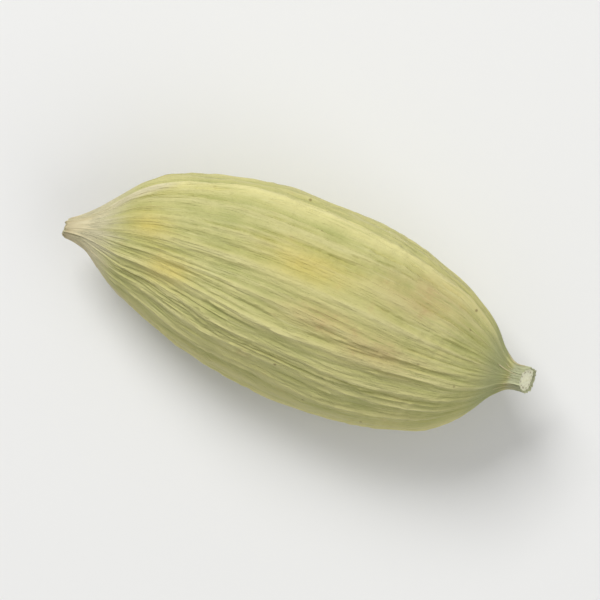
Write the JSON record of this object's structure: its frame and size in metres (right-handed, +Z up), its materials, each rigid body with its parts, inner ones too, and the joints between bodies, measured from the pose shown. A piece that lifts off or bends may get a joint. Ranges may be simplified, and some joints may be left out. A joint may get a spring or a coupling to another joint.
{
  "type": "green cardamom pod",
  "caption": "Dried green cardamom pod: one closed, ribbed seed capsule with a cut stalk stub and a withered flower end, lying on its side on a small flat spot.",
  "frame": {"origin": "on the surface that the pod rests on, under the middle of the pod's box", "axes": "+X runs along the pod from the withered flower end to the cut stalk end, +Z is up from the surface it rests on, and +Y follows by the right-hand rule"},
  "size_m": [0.0176, 0.0074, 0.0063],
  "materials": {
    "green_husk": "matte, dry and papery"
  },
  "bodies": {
    "root": {"cardamom_pod": "green_husk"}
  },
  "joints": []
}
